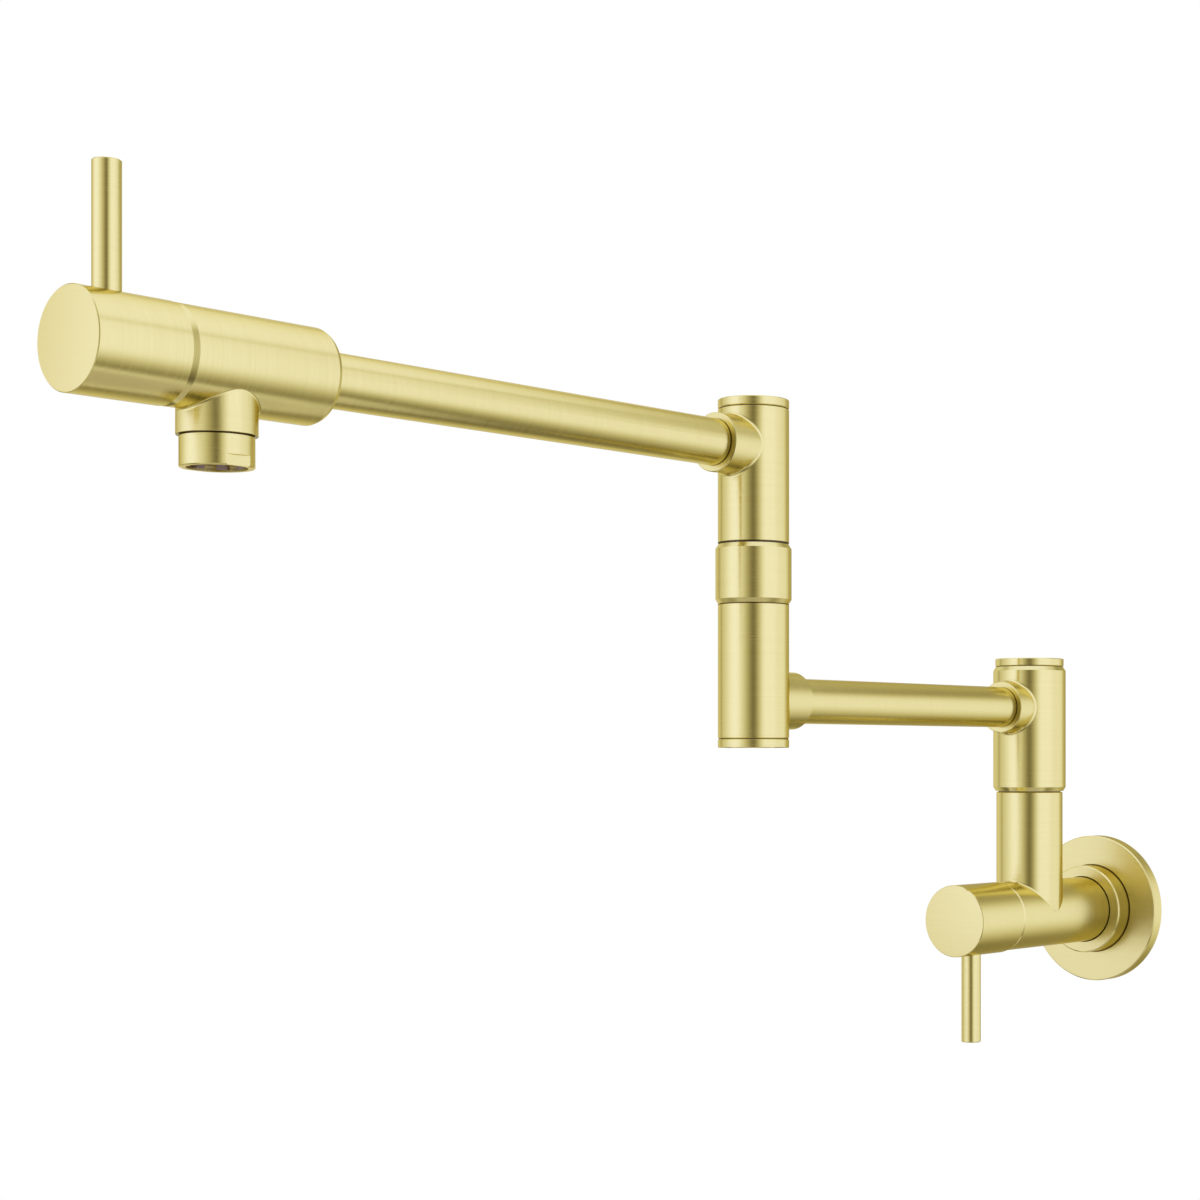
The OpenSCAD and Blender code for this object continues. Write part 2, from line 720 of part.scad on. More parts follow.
module joint_collar() {
    color(gold) translate([0, joint_y, low_body_top + fit]) difference() {
        turned(collar_d / 2, collar_len - fit, step_bevel, step_bevel);
        translate([0, 0, -cut]) cylinder(r = spindle_r + fit, h = collar_len + 2 * cut);
    }
}

// Hollow spindle: fixed in the lower joint body, and a bearing for the upper one
module joint_spindle() {
    color(raw_brass) translate([0, joint_y, 0]) difference() {
        translate([0, 0, spindle_bottom]) turned(spindle_r, spindle_len, high = fine_bevel);
        translate([0, 0, spindle_bottom - cut])
            cylinder(r = spindle_r - spindle_wall, h = spindle_len + 2 * cut);
        for (z = joint_seals) translate([0, 0, z]) shaft_seal_groove(spindle_r, seal_d);
        translate([0, 0, snap_ring_z])
            ring(spindle_r + cut, spindle_r - snap_groove, snap_ring_t + 2 * fit);
    }
}

module joint_o_rings() {
    color(rubber) for (z = joint_seals) translate([0, joint_y, z]) shaft_seal(spindle_r, seal_d);
}

module joint_thrust_washer() {
    color(rubber) translate([0, joint_y, collar_top + fit])
        ring(joint_r - washer_recess, spindle_r + fit, joint_gap - 2 * fit);
}

// Snap ring above the bearing, which keeps the upper joint body on the spindle
module joint_snap_ring() {
    color(steel) translate([0, joint_y, snap_ring_z + fit]) difference() {
        ring(joint_chamber_r - 2 * fit, spindle_r - snap_groove + fit, snap_ring_t);
        translate([0, 0, -cut]) linear_extrude(snap_ring_t + 2 * cut)
            polygon([[0, 0], [spindle_d, snap_open], [spindle_d, -snap_open]]);
    }
}

module upper_joint_body() {
    color(gold) difference() {
        union() {
            translate([0, joint_y, up_body_bottom]) turned(joint_r, joint_len, high = fine_bevel);
            to_room(joint_y, upper_arm_z) boss();
        }
        translate([0, joint_y, bearing_top])
            cylinder(r = joint_chamber_r, h = joint_len - bearing_len + cut);
        translate([0, joint_y, up_body_bottom - cut]) cylinder(r = spindle_r + fit, h = joint_len);
        to_room(joint_y, upper_arm_z) boss_socket(joint_stop);
    }
}

module top_cap() {
    color(gold) translate([0, joint_y, up_body_top + cap_groove + cap_rim]) mirror([0, 0, 1]) joint_cap();
}

module top_cap_o_ring() {
    color(rubber) translate([0, joint_y, up_body_top + cap_groove + cap_rim - cap_seal_z])
        shaft_seal(joint_chamber_r - fit, seal_d);
}

module upper_arm_tube() {
    room_end = outlet_y + head_back - head_socket + fit;
    color(gold) arm_tube(joint_y - joint_stop - fit, room_end, upper_arm_z);
}

// The head carries the tube, the second valve and the outlet stub
module valve_head() {
    color(gold) to_room(outlet_y, upper_arm_z) difference() {
        union() {
            translate([0, 0, -head_back])
                turned(head_r, head_back + head_front, head_bevel, head_nose);
            rotate([90, 0, 0]) turned(stub_d / 2, stub_len, high = hair_bevel);
        }
        valve_chamber(head_front);
        translate([0, 0, -head_back]) cylinder(d = seat_bore_d, h = head_back);
        translate([0, 0, -head_back - cut]) cylinder(r = tube_r + fit, h = head_socket + cut);
        rotate([90, 0, 0]) {
            cylinder(d = outlet_bore_d, h = stub_len + cut);
            translate([0, 0, upper_arm_z - stub_thread_top])
                cylinder(d = aerator_neck_d + 2 * fit, h = stub_len);
        }
    }
}

module aerator_housing() {
    color(gold) translate([0, outlet_y, 0]) difference() {
        union() {
            translate([0, 0, aerator_bottom]) turned(aerator_d / 2, aerator_len, fine_bevel, hair_bevel);
            translate([0, 0, aerator_top - cut]) cylinder(d = aerator_neck_d, h = aerator_neck_len + cut);
        }
        translate([0, 0, aerator_bottom + insert_lip])
            cylinder(d = insert_d + 2 * fit, h = aerator_len + aerator_neck_len);
        translate([0, 0, aerator_bottom - cut]) cylinder(r = insert_d / 2 - insert_lip, h = aerator_len);
        for (side = [0, 180])
            rotate([0, 0, side]) translate([aerator_flats / 2, -aerator_d, aerator_bottom - cut])
                cube([aerator_d, 2 * aerator_d, aerator_flat_h + cut]);
    }
}

// Insert: teeth round the mouth, and a perforated web across the water's way
module aerator_insert() {
    low = aerator_bottom + insert_lip + fit;
    full = aerator_neck_top - low;
    web_top = web_low + web_t;
    color(plastic) translate([0, outlet_y, low]) difference() {
        cylinder(d = insert_d, h = full);
        translate([0, 0, -cut]) cylinder(r = insert_hollow_r, h = web_low + cut);
        translate([0, 0, web_top]) cylinder(r = insert_hollow_r, h = full - web_top + cut);
        translate([0, 0, web_low - cut]) {
            cylinder(d = web_hole_d, h = web_t + 2 * cut);
            for (row = [1:web_rows])
                for (turn = [0:60 / row:359])
                    rotate([0, 0, turn]) translate([row * web_pitch, 0, 0])
                        cylinder(d = web_hole_d, h = web_t + 2 * cut);
        }
        for (turn = [180 / insert_notches:360 / insert_notches:359])
            rotate([0, 0, turn]) translate([insert_hollow_r - cut, -notch_w / 2, -cut])
                cube([insert_d / 2, notch_w, notch_depth + cut]);
    }
}

module aerator_washer() {
    color(rubber) translate([0, outlet_y, aerator_neck_top + fit])
        ring(aerator_neck_d / 2 - fit, outlet_bore_d / 2, aerator_washer_t);
}

// Places a piece of the lower valve, whose lever points down, or of the upper one, which points up
module in_lower_valve() {
    to_room(post_y, 0) rotate([0, 0, 180]) children();
}

module in_upper_valve() {
    to_room(outlet_y, upper_arm_z) children();
}

module lower_cartridge() { color(raw_brass) in_lower_valve() cartridge(supply_front); }
module lower_fixed_disc() { color(white) in_lower_valve() ceramic_disc(disc_low + fit / 2); }
module lower_seat_gasket() { color(rubber) in_lower_valve() seat_gasket(); }
module lower_knob() { color(gold) in_lower_valve() knob(supply_front); }
module lower_lever() { color(gold) in_lower_valve() lever(supply_front); }
module lower_grub_screw() { color(steel) in_lower_valve() grub_screw(supply_front); }
module lower_stem() { color(raw_brass) in_lower_valve() stem(supply_front); }
module lower_stem_clip() { color(steel) in_lower_valve() stem_clip(supply_front); }
module lower_stem_o_ring() { color(rubber) in_lower_valve() stem_o_ring(supply_front); }
module lower_rotor_disc() { color(white) in_lower_valve() ceramic_disc(rotor_low); }

module upper_cartridge() { color(raw_brass) in_upper_valve() cartridge(head_front); }
module upper_fixed_disc() { color(white) in_upper_valve() ceramic_disc(disc_low + fit / 2); }
module upper_seat_gasket() { color(rubber) in_upper_valve() seat_gasket(); }
module upper_knob() { color(gold) in_upper_valve() knob(head_front); }
module upper_lever() { color(gold) in_upper_valve() lever(head_front); }
module upper_grub_screw() { color(steel) in_upper_valve() grub_screw(head_front); }
module upper_stem() { color(raw_brass) in_upper_valve() stem(head_front); }
module upper_stem_clip() { color(steel) in_upper_valve() stem_clip(head_front); }
module upper_stem_o_ring() { color(rubber) in_upper_valve() stem_o_ring(head_front); }
module upper_rotor_disc() { color(white) in_upper_valve() ceramic_disc(rotor_low); }

supply_body();
riser();
pivot_post();
post_cap();
post_o_rings();
sleeve_thrust_washer();
flange_disc();
flange_collar();
flange_locknut();
flange_o_ring();
wall_gasket();
lower_cartridge();
lower_fixed_disc();
lower_seat_gasket();
lower_knob();
lower_lever();
lower_grub_screw();
lower_stem();
lower_stem_clip();
lower_stem_o_ring();
lower_rotor_disc();
swivel_sleeve();
lower_arm_tube();
lower_joint_body();
bottom_cap();
bottom_cap_o_ring();
joint_collar();
joint_spindle();
joint_o_rings();
joint_thrust_washer();
joint_snap_ring();
upper_joint_body();
top_cap();
top_cap_o_ring();
upper_arm_tube();
valve_head();
aerator_housing();
aerator_insert();
aerator_washer();
upper_cartridge();
upper_fixed_disc();
upper_seat_gasket();
upper_knob();
upper_lever();
upper_grub_screw();
upper_stem();
upper_stem_clip();
upper_stem_o_ring();
upper_rotor_disc();
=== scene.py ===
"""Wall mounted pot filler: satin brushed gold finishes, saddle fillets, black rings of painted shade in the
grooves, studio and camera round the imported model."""

import math

import bmesh
import bpy
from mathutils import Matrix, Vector


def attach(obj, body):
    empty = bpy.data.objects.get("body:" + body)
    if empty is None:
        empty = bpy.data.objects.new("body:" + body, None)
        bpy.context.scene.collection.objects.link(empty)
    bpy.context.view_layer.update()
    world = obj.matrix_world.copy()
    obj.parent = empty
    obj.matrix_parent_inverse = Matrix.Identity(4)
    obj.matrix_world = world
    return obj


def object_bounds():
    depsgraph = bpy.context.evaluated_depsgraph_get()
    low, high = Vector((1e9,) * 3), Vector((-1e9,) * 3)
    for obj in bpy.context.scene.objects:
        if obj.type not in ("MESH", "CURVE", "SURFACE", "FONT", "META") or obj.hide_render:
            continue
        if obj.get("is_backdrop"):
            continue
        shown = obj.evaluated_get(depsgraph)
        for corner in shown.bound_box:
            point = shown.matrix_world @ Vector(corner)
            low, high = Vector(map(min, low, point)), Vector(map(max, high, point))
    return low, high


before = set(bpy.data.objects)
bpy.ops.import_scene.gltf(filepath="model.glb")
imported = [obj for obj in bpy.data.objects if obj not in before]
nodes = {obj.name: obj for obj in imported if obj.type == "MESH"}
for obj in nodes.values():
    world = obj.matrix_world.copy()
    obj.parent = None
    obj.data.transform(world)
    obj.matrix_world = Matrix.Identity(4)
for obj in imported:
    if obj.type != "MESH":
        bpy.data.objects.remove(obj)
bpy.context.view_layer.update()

MM = 0.001

# ---------------------------------------------------------------- camera

PHOTO_PX = 1200             # width of the photograph
FOCAL_PX = 2300.53          # focal length, in pixels of the photograph
SHIFT = (-0.24529, 0.12990)
SENSOR_MM = 36.0
CAMERA_PLACE = (0.62207, -0.97844, 0.07600)
CAMERA_TURN = 37.543        # degrees about the upright
camera_data = bpy.data.cameras.new("camera")
camera_data.sensor_width = SENSOR_MM
camera_data.lens = SENSOR_MM * FOCAL_PX / PHOTO_PX
camera_data.shift_x, camera_data.shift_y = SHIFT
camera = bpy.data.objects.new("camera", camera_data)
camera.location = CAMERA_PLACE
camera.rotation_euler = (math.radians(90), 0, math.radians(CAMERA_TURN))
bpy.context.scene.collection.objects.link(camera)
bpy.context.scene.camera = camera
bpy.context.scene.view_settings.view_transform = "Standard"


# ---------------------------------------------------------------- finish maker

class Signal:
    """A value that varies over a surface; sums written with it add Math nodes."""

    def __init__(self, finish, socket):
        self.finish = finish
        self.socket = socket

    def math(self, operation, *values):
        sockets = dict(enumerate(values))
        return self.finish.add("Math", {"operation": operation}, sockets)["Value"]

    def __add__(self, other):
        return self.math("ADD", self, other)

    __radd__ = __add__

    def __sub__(self, other):
        return self.math("SUBTRACT", self, other)

    def __rsub__(self, other):
        return self.math("SUBTRACT", other, self)

    def __mul__(self, other):
        return self.math("MULTIPLY", self, other)

    __rmul__ = __mul__

    def __truediv__(self, other):
        return self.math("DIVIDE", self, other)

    def __pow__(self, power):
        return self.math("POWER", self, power)

    def __abs__(self):
        return self.math("ABSOLUTE", self)

    def above(self, edge):
        return self.math("GREATER_THAN", self, edge)

    def below(self, edge):
        return self.math("LESS_THAN", self, edge)

    def at_least(self, floor):
        return self.math("MAXIMUM", self, floor)

    def bell(self, centre, width):
        """1 at centre, falling smoothly to nothing over about twice the width."""
        away = (self - centre) / width
        return self.math("EXPONENT", 0 - away * away)

    def ramp(self, low, high, at_low=0.0, at_high=1.0):
        """at_low up to low, then a smooth change to at_high at high."""
        settings = {"interpolation_type": "SMOOTHSTEP"}
        sockets = {"Value": self, "From Min": low, "From Max": high, "To Min": at_low, "To Max": at_high}
        return self.finish.add("MapRange", settings, sockets)["Result"]

    def fade(self, low, high):
        """1 up to low, then a smooth fall to 0 at high."""
        return self.ramp(low, high, 1.0, 0.0)


class Outputs:
    """A node's outputs by name, as signals."""

    def __init__(self, finish, node):
        self.finish = finish
        self.node = node

    def __getitem__(self, name):
        for socket in self.node.outputs:
            if socket.name == name and socket.enabled:
                return Signal(self.finish, socket)
        raise KeyError(name)


class Finish:
    """The node tree of one material or of the world."""

    def __init__(self, owner):
        self.owner = owner
        owner.use_nodes = True
        self.tree = owner.node_tree
        self.tree.nodes.clear()

    def add(self, kind, settings=None, sockets=None):
        """A shader node: its kind, its settings, then the values or links of its inputs by name or number."""
        node = self.tree.nodes.new("ShaderNode" + kind)
        for name, value in (settings or {}).items():
            setattr(node, name, value)
        for key, value in (sockets or {}).items():
            if isinstance(key, int):
                socket = node.inputs[key]
            else:
                socket = next(s for s in node.inputs if s.name == key and s.enabled)
            if isinstance(value, Signal):
                self.tree.links.new(value.socket, socket)
            else:
                socket.default_value = value
        return Outputs(self, node)

    def axes(self, vector):
        parts = self.add("SeparateXYZ", None, {"Vector": vector})
        return parts["X"], parts["Y"], parts["Z"]

    def stretched(self, place, scales, detail=3.0):
        """Noise from 0 to 1 in a pattern with its own scale on each axis."""
        vector = self.add("VectorMath", {"operation": "MULTIPLY"}, {0: place, 1: scales})["Vector"]
        sockets = {"Vector": vector, "Scale": 1.0, "Detail": detail, "Roughness": 0.55}
        return self.add("TexNoise", {"noise_dimensions": "3D"}, sockets)["Fac"]

    def cloud(self, place, cells, detail):
        """Even noise from 0 to 1 with so many cells a metre."""
        return self.add("TexNoise", None, {"Vector": place, "Scale": cells, "Detail": detail})["Fac"]

    def blend(self, under, over, factor):
        """A colour signal with the colour over laid on it by the factor; under may be a plain colour too."""
        if not isinstance(under, Signal):
            under = (*under, 1.0)
        sockets = {"Factor": factor, "A": under, "B": (*over, 1.0)}
        return self.add("Mix", {"data_type": "RGBA"}, sockets)["Result"]

    def surface(self, output, shader, kind="OutputMaterial"):
        self.add(kind, None, {output: shader})
        return self.owner


def new_finish(name):
    return Finish(bpy.data.materials.new(name))


# ---------------------------------------------------------------- sizes, as in the part's source

POST_Y = -62.5 * MM         # the post's axis; -Y is out into the room
JOINT_Y = -264.0 * MM       # the middle joint's axis
OUTLET_Y = -525.6 * MM      # the outlet's axis
LOWER_ARM_Z = 99.0 * MM
UPPER_ARM_Z = 202.4 * MM
SLEEVE_R = 17.4 * MM
SLEEVE_TOP = 118.6 * MM
POST_R = 12.1 * MM          # just outside the post's skin
POST_CAP_R = 16.4 * MM
LOW_BODY_BOTTOM = 83.2 * MM
LOW_BODY_TOP = 138.2 * MM
UP_BODY_BOTTOM = 163.2 * MM
UP_BODY_TOP = 218.2 * MM
BODY_R = 14.65 * MM         # both halves of the middle joint
BOSS_R = 12.0 * MM
BOSS_FACE = 24.4 * MM       # from an upright's axis to the face of its boss
HEAD_R = 16.4 * MM
HEAD_UNDERSIDE = 15.6 * MM  # below the head's axis; the stub starts here
HEAD_NOSE = 18.0 * MM       # from the outlet's axis forwards to the front bevel
HEAD_BACK = 37.5 * MM       # from the outlet's axis to the tube's socket
STUB_R = 12.9 * MM
STUB_END_Z = 178.6 * MM
AERATOR_GAP = 0.3 * MM
RISER_R = 15.9 * MM
SUPPLY_R = 15.95 * MM
SUPPLY_NOSE = 26.8 * MM     # from the post's axis forwards to the front bevel
FLANGE_FACE_Y = -6.5 * MM
HUB_R = 21.5 * MM
CAP_GAP = 0.30 * MM         # height of the groove at each cap
COLLAR_GAP = 0.40 * MM      # running height over the middle joint's collar
PLUG_R = 10.6 * MM          # the plugs of the middle joint's two caps


# ---------------------------------------------------------------- satin gold

# SATIN_PALE is also a painted highlight: the end faces are mixed half-way to it so they look more brightly lit.
SATIN_DEEP, SATIN_PALE = (0.825, 0.725, 0.290), (0.895, 0.790, 0.345)
GRAZING_TINT = (0.80, 0.72, 0.42, 1.0)
# brown painted shade for the joint lines, where shade falls in the gaps between parts
CRACK_SHADE_BROWN = (0.16, 0.11, 0.03)
END_FACE = 0.93             # how squarely a face looks along the turning axis before it counts as an end face
STROKE = 12.0               # noise cells a metre along a brush stroke
HAIR = 2000.0               # noise cells a metre across the strokes
BAND = 600.0                # broader bands that the brushing leaves
CROWN = 1700.0              # millimetres that a knob's face falls, for each square metre off its centre
# roughness between the strokes, what each hair adds, what the deepest hairs add, and how far it is anisotropic
BRUSHED_ROUND_Z = (0.105, 0.17, 0.04, 0.8)
BRUSHED_ROUND_Y = (0.135, 0.12, 0.02, 0.0)


def brushed_gold(name, region=None, along_y=False, crown_z=None, noses=(), crack_shade=None):
    """Satin gold brushed round a turned part. Strokes run round the Z axis, or round Y where along_y;
    region(x, y, z) is 1 where the part turns the other way, as a boss does on a body. A knob's face is
    faintly crowned about the height crown_z; noses are where front bevels start along Y and the
    millimetres a metre by which they look steeper; where the crack mask is 1, a joint line gets brown
    painted shade, standing in for the shade in the gap."""
    finish = new_finish(name)
    coordinate = finish.add("TexCoord")
    place = coordinate["Object"]
    x, y, z = finish.axes(place)
    across, ahead, upward = finish.axes(coordinate["Normal"])
    end_face = abs(ahead if along_y else upward).above(END_FACE)
    turned_y = end_face if not along_y else 1 - end_face
    if region is not None:
        other = region(x, y, z)
        turned_y = turned_y * (1 - other) + (1 - turned_y) * other
    turned_z = 1 - turned_y

    def brushing(fine, detail):
        fast_y = STROKE + turned_y * (fine - STROKE)
        fast_z = STROKE + turned_z * (fine * (1 + end_face * 0.6) - STROKE)
        scales = finish.add("CombineXYZ", None, {"X": STROKE, "Y": fast_y, "Z": fast_z})["Vector"]
        return finish.stretched(place, scales, detail)

    hairs = brushing(HAIR, 3.0)
    bands = brushing(BAND, 2.0)
    cloud = finish.cloud(place, 38.0, 2.0)
    tone = (hairs * 0.7 + bands * 0.3).ramp(0.30, 0.70)
    # painted highlight: end faces are mixed half-way to the paler gold so they look more brightly lit; the rest of
    # the tone is random brushing
    colour = finish.blend(SATIN_DEEP, SATIN_PALE, tone * 0.45 + end_face * 0.5)
    # painted shade: the joint lines are blended to brown where shade falls in the gaps between the parts
    if crack_shade is not None:
        colour = finish.blend(colour, CRACK_SHADE_BROWN, crack_shade(x, y, z))
    smooth, hair_step, deep_step, anisotropic = BRUSHED_ROUND_Y if along_y else BRUSHED_ROUND_Z
    strokes = hairs * hair_step + hairs.ramp(0.50, 0.72) * deep_step
    roughness = smooth + strokes + cloud * 0.02 + end_face * 0.11
    height = (hairs * 0.020 + bands * 0.003) * (1 + end_face * 0.3)
    if crown_z is not None:
        height = height - (x * x + (z - crown_z) * (z - crown_z)) * CROWN * end_face
    for start_y, fall in noses:
        height = height - (start_y - y).at_least(0) * fall
    bump = finish.add("Bump", None, {"Strength": 1.0, "Distance": MM, "Height": height})
    metal = finish.add("BsdfPrincipled", None, {
        "Base Color": colour, "Metallic": 1.0, "Roughness": roughness, "Normal": bump["Normal"],
        "Specular Tint": GRAZING_TINT, "Anisotropic": anisotropic, "Anisotropic Rotation": 0.25})
    return finish.surface("Surface", metal["BSDF"])


# Regions of a part, each 1 inside and 0 outside.

def room_side(plane_y):
    return lambda x, y, z: y.below(plane_y)


def wall_side(plane_y):
    return lambda x, y, z: y.above(plane_y)


def lower_than(height):
    return lambda x, y, z: z.below(height)


def higher_than(height):
    return lambda x, y, z: z.above(height)


def beyond_ends(low, high):
    return lambda x, y, z: y.below(low) + y.above(high)


def bore_within(radius):
    return lambda x, y, z: (x * x + z * z).below(radius * radius)


# How wide the painted shade of each joint line is on the piece that shows it.
TUBE_LINE = 0.50 * MM       # on a tube, at the face of its boss
SOCKET_LINE = 0.40 * MM     # on the upper tube, at the head's socket
FOOT_LINE = 0.35 * MM       # on the lower joint body, under the collar
RUNNING_LINE = 0.40 * MM    # on the upper joint body, over the collar
STUB_LINE = 0.05 * MM       # on the stub's end
AERATOR_LINE = 0.08 * MM    # on the aerator's top
HUB_LINE = 0.40 * MM        # on the hub, at the flange's face
BORE_LINE = 0.50 * MM       # on the flange's face, round the hub

upright_gold = brushed_gold("upright_gold")
level_gold = brushed_gold("level_gold", along_y=True)
lower_knob_gold = brushed_gold("lower_knob_gold", along_y=True, crown_z=0.0)
upper_knob_gold = brushed_gold("upper_knob_gold", along_y=True, crown_z=UPPER_ARM_Z)
sleeve_gold = brushed_gold("sleeve_gold", room_side(POST_Y - SLEEVE_R))
lower_joint_gold = brushed_gold("lower_joint_gold", wall_side(JOINT_Y + BODY_R),
                                crack_shade=higher_than(LOW_BODY_TOP - FOOT_LINE))
upper_joint_gold = brushed_gold("upper_joint_gold", room_side(JOINT_Y - BODY_R),
                                crack_shade=lower_than(UP_BODY_BOTTOM + RUNNING_LINE))
head_gold = brushed_gold("head_gold", lower_than(UPPER_ARM_Z - HEAD_UNDERSIDE), along_y=True,
                         noses=[(OUTLET_Y - HEAD_NOSE, 140.0)], crack_shade=lower_than(STUB_END_Z + STUB_LINE))
aerator_gold = brushed_gold("aerator_gold", crack_shade=higher_than(STUB_END_Z - AERATOR_GAP - AERATOR_LINE))
# The supply body looks steeper from a little behind its bevel, and flatter again on the bevel itself.
supply_noses = [(POST_Y - SUPPLY_NOSE + 0.7 * MM, 420.0), (POST_Y - SUPPLY_NOSE, -650.0)]
supply_gold = brushed_gold("supply_gold", along_y=True, noses=supply_noses)
flange_gold = brushed_gold("flange_gold", along_y=True, crack_shade=bore_within(HUB_R + BORE_LINE))
lower_tube_ends = beyond_ends(JOINT_Y + BOSS_FACE + TUBE_LINE, POST_Y - BOSS_FACE - TUBE_LINE)
lower_tube_gold = brushed_gold("lower_tube_gold", along_y=True, crack_shade=lower_tube_ends)
upper_tube_ends = beyond_ends(OUTLET_Y + HEAD_BACK + SOCKET_LINE, JOINT_Y - BOSS_FACE - TUBE_LINE)
upper_tube_gold = brushed_gold("upper_tube_gold", along_y=True, crack_shade=upper_tube_ends)
hub_gold = brushed_gold("hub_gold", along_y=True, crack_shade=wall_side(FLANGE_FACE_Y - HUB_LINE))


# ---------------------------------------------------------------- inner finishes

SKIN_DEPTH = 0.05 * MM      # height of the tool rings and of the moulded skin


def turned_metal(name, dark, light, roughness):
    """Bare metal off the lathe: fine tool rings with a slow cloud of handling marks."""
    finish = new_finish(name)
    place = finish.add("TexCoord")["Object"]
    rings = finish.stretched(place, (90.0, 1300.0, 1300.0))
    cloud = finish.cloud(place, 60.0, 4.0)
    colour = finish.blend(dark, light, rings * 0.5 + cloud * 0.5)
    bump = finish.add("Bump", None, {"Strength": 0.4, "Distance": SKIN_DEPTH, "Height": rings})
    metal = finish.add("BsdfPrincipled", None, {
        "Base Color": colour, "Metallic": 1.0,
        "Roughness": roughness + rings * 0.10 + cloud * 0.08, "Normal": bump["Normal"]})
    return finish.surface("Surface", metal["BSDF"])


def moulded(name, dark, light, roughness, grain):
    """Moulded rubber, plastic or fired ceramic: a fine skin texture and faint flow clouds."""
    finish = new_finish(name)
    place = finish.add("TexCoord")["Object"]
    cloud = finish.cloud(place, 90.0, 4.0)
    skin = finish.cloud(place, 1600.0, 2.0)
    colour = finish.blend(dark, light, cloud.ramp(0.3, 0.7))
    bump = finish.add("Bump", None, {"Strength": grain, "Distance": SKIN_DEPTH, "Height": skin})
    body = finish.add("BsdfPrincipled", None, {
        "Base Color": colour, "Roughness": roughness + cloud * 0.12, "Normal": bump["Normal"]})
    return finish.surface("Surface", body["BSDF"])


slot_finishes = {
    "satin_gold": upright_gold,
    "raw_brass": turned_metal("raw_brass", (0.66, 0.48, 0.22), (0.76, 0.60, 0.30), 0.24),
    "steel": turned_metal("steel", (0.54, 0.54, 0.55), (0.66, 0.66, 0.67), 0.22),
    "black_rubber": moulded("black_rubber", (0.030, 0.030, 0.030), (0.055, 0.053, 0.050), 0.62, 0.5),
    "ceramic": moulded("ceramic", (0.88, 0.88, 0.86), (0.92, 0.92, 0.90), 0.10, 0.05),
    "aerator_plastic": moulded("aerator_plastic", (0.38, 0.29, 0.24), (0.47, 0.36, 0.30), 0.40, 0.25),
    "bearing_plastic": moulded("bearing_plastic", (0.07, 0.07, 0.07), (0.11, 0.11, 0.11), 0.45, 0.3),
}
# painted light: the thrust washer's own gold-brown is made paler still, to light its line, which lies in shade at
# the foot of the sleeve
painted_lit_bearing_plastic = moulded("painted_lit_bearing_plastic", (0.32, 0.26, 0.10), (0.38, 0.31, 0.13), 0.45, 0.3)

# The nodes that differ from their slot's finish.
node_finishes = {
    "supply_body": supply_gold, "flange_disc": flange_gold, "flange_collar": hub_gold,
    "lower_knob": lower_knob_gold, "upper_knob": upper_knob_gold,
    "swivel_sleeve": sleeve_gold, "sleeve_thrust_washer": painted_lit_bearing_plastic,
    "lower_arm_tube": lower_tube_gold, "upper_arm_tube": upper_tube_gold,
    "lower_joint_body": lower_joint_gold, "upper_joint_body": upper_joint_gold,
    "valve_head": head_gold, "aerator_housing": aerator_gold,
}
for node, part in nodes.items():
    cad_slot = part.data.materials[0].name
    part.data.materials[0] = node_finishes.get(node) or slot_finishes[cad_slot.split(".")[0]]


# ---------------------------------------------------------------- saddle fillets, and black rings of painted shade in the grooves

SHARP_EDGE = 50             # degrees between faces above which an edge stays sharp


def put_in_scene(name, mesh, material):
    """Turns the mesh into an object of one material, at the origin."""
    data = bpy.data.meshes.new(name)
    mesh.to_mesh(data)
    mesh.free()
    data.materials.append(material)
    thing = bpy.data.objects.new(name, data)
    bpy.context.scene.collection.objects.link(thing)
    return thing


def fit_piece(name, mesh, body, material):
    """Turns the mesh into a smooth piece that rides on one of the moving bodies."""
    bmesh.ops.recalc_face_normals(mesh, faces=mesh.faces)
    piece = put_in_scene(name, mesh, material)
    piece.data.polygons.foreach_set("use_smooth", [True] * len(piece.data.polygons))
    piece.data.set_sharp_from_angle(angle=math.radians(SHARP_EDGE))
    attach(piece, body)


def close_ring(mesh, sections):
    """Faces between each closed section and the next, the last one joined to the first."""
    for here, there in zip(sections, sections[1:] + sections[:1]):
        for a, b, c, d in zip(here, here[1:] + here[:1], there[1:] + there[:1], there):
            mesh.faces.new((a, b, c, d))


def saddle_fillet(name, body, centre, along, main_r, out, branch_r, fillet_r=1.6 * MM):
    """The rolled fillet where a round branch leaves a round main part. The main part's axis runs along
    the unit vector along, the branch leaves along the unit vector out, and the axes cross at centre."""
    turns, steps, sunk = 192, 6, 0.02 * MM
    deep = 3 * sunk
    side = along.cross(out)
    mesh = bmesh.new()
    sections = []
    for turn in range(turns):
        angle = math.tau * turn / turns
        ball_x = (branch_r + fillet_r) * math.cos(angle)
        ball_y = math.sqrt((main_r + fillet_r) ** 2 - ball_x ** 2)
        ball = Vector((ball_x, ball_y, (branch_r + fillet_r) * math.sin(angle)))
        on_main = Vector((ball.x, ball.y, 0)) * (main_r - sunk) / (main_r + fillet_r) + Vector((0, 0, ball.z))
        on_branch = Vector((ball.x, 0, ball.z)) * (branch_r - sunk) / (branch_r + fillet_r) + Vector((0, ball.y, 0))
        from_main, from_branch = (on_main - ball).normalized(), (on_branch - ball).normalized()
        opening = from_main.angle(from_branch)
        points = [on_main]
        for step in range(steps + 1):
            share = step / steps
            lean = from_main * math.sin((1 - share) * opening) + from_branch * math.sin(share * opening)
            points.append(ball + lean / math.sin(opening) * fillet_r)
        points.append(on_branch)
        inner_x = (branch_r - deep) * math.cos(angle)
        inner_y = math.sqrt(main_r ** 2 - inner_x ** 2) - deep
        points.append(Vector((inner_x, inner_y, (branch_r - deep) * math.sin(angle))))
        sections.append([mesh.verts.new(centre + side * p.x + out * p.y + along * p.z) for p in points])
    close_ring(mesh, sections)
    fit_piece(name, mesh, body, level_gold)


